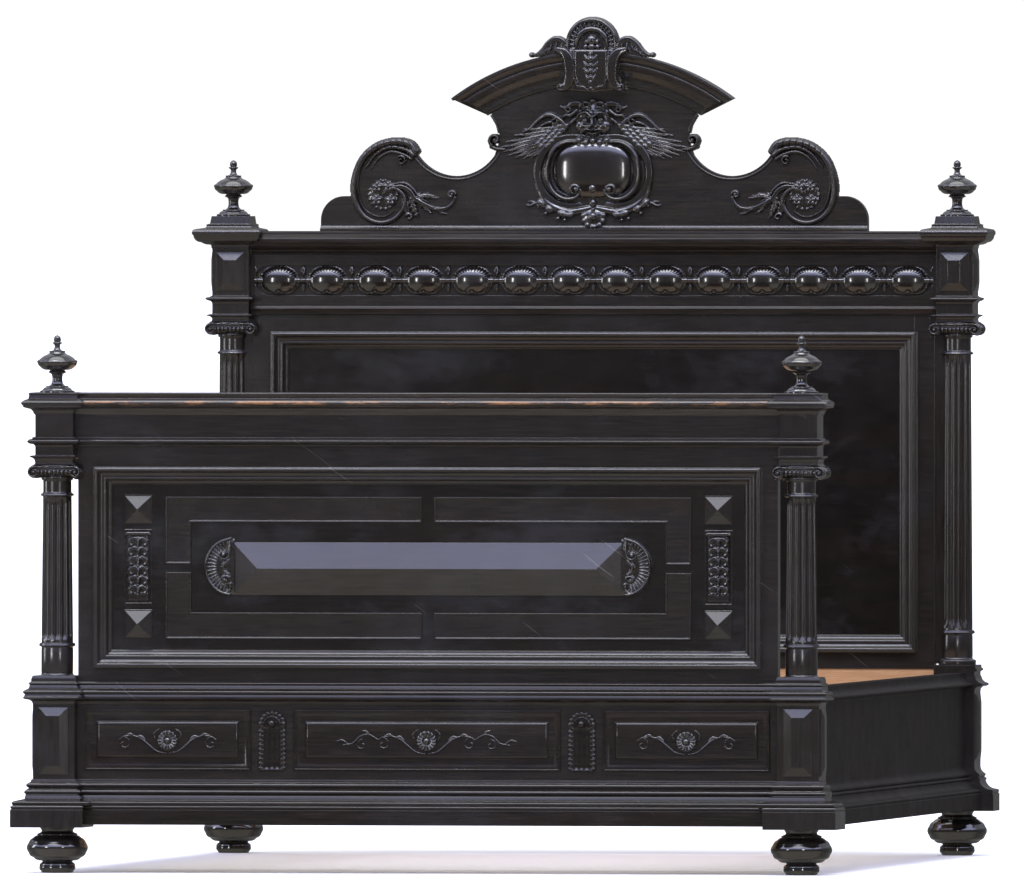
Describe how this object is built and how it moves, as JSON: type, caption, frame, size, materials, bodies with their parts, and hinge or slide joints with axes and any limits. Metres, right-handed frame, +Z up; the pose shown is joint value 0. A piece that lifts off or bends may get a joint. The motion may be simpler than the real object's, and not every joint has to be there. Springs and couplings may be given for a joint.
{
  "type": "double bed",
  "caption": "Knock-down panelled double bed in Renaissance revival style: fluted corner columns with turned finials, a carved crest on the headboard, hooked side rails and a slatted deck.",
  "frame": {"origin": "on the floor under the middle of the bed: the centre of the bounding box's bottom face", "axes": "+X to the right of someone at the foot who looks at the headboard, +Y from the foot to the head, +Z up"},
  "size_m": [1.74, 2.247, 1.7895],
  "materials": {
    "ebonised_wood": "polished, worn satin gloss",
    "bare_wood": "unfinished, aged",
    "slat_wood": "planed, unfinished",
    "iron": "dark, oiled",
    "webbing": "woven"
  },
  "bodies": {
    "bed_ends": {"crest_acanthus_leaves": "ebonised_wood", "crest_arches": "ebonised_wood", "crest_board": "ebonised_wood", "crest_cartouche": "ebonised_wood", "crest_foliage": "ebonised_wood", "crest_keystone": "ebonised_wood", "crest_mask": "ebonised_wood", "crest_plinth": "ebonised_wood", "crest_scrolls": "ebonised_wood", "crest_shell": "ebonised_wood", "crest_wings": "ebonised_wood", "footboard_border_strips": "ebonised_wood", "footboard_capitals": "ebonised_wood", "footboard_centre_boss": "ebonised_wood", "footboard_column_left": "ebonised_wood", "footboard_column_right": "ebonised_wood", "footboard_cornice": "ebonised_wood", "footboard_dado_board": "ebonised_wood", "footboard_dado_brackets": "ebonised_wood", "footboard_dado_mouldings": "ebonised_wood", "footboard_dado_panels": "ebonised_wood", "footboard_dado_rosettes": "ebonised_wood", "footboard_entablature_left": "ebonised_wood", "footboard_entablature_right": "ebonised_wood", "footboard_feet": "ebonised_wood", "footboard_finials": "ebonised_wood", "footboard_frame": "ebonised_wood", "footboard_frieze": "ebonised_wood", "footboard_hook_pins": "iron", "footboard_leaf_drops": "ebonised_wood", "footboard_panel": "ebonised_wood", "footboard_panel_moulding": "ebonised_wood", "footboard_pedestal_left": "ebonised_wood", "footboard_pedestal_right": "ebonised_wood", "footboard_pyramids": "ebonised_wood", "footboard_shells": "ebonised_wood", "headboard_bare_boards": "bare_wood", "headboard_capitals": "ebonised_wood", "headboard_column_left": "ebonised_wood", "headboard_column_right": "ebonised_wood", "headboard_cornice": "ebonised_wood", "headboard_egg_moulding": "ebonised_wood", "headboard_entablature_left": "ebonised_wood", "headboard_entablature_right": "ebonised_wood", "headboard_feet": "ebonised_wood", "headboard_finials": "ebonised_wood", "headboard_frame": "ebonised_wood", "headboard_frieze": "ebonised_wood", "headboard_hook_pins": "iron", "headboard_panel": "ebonised_wood", "headboard_panel_moulding": "ebonised_wood", "headboard_post_block_left": "ebonised_wood", "headboard_post_block_right": "ebonised_wood"},
    "side_rails": {"side_rail_hooks": "iron", "side_rail_ledges": "slat_wood", "side_rail_left": "ebonised_wood", "side_rail_right": "ebonised_wood"},
    "slat_deck": {"slat_tapes": "webbing", "slats": "slat_wood"}
  },
  "joints": [
    {"name": "rails_unhook", "type": "slide", "parent": "bed_ends", "child": "side_rails", "axis": [0, 0, 1], "range_m": [0, 0.03]},
    {"name": "slats_lift_out", "type": "slide", "parent": "side_rails", "child": "slat_deck", "axis": [0, 0, 1], "range_m": [0, 0.3]}
  ]
}
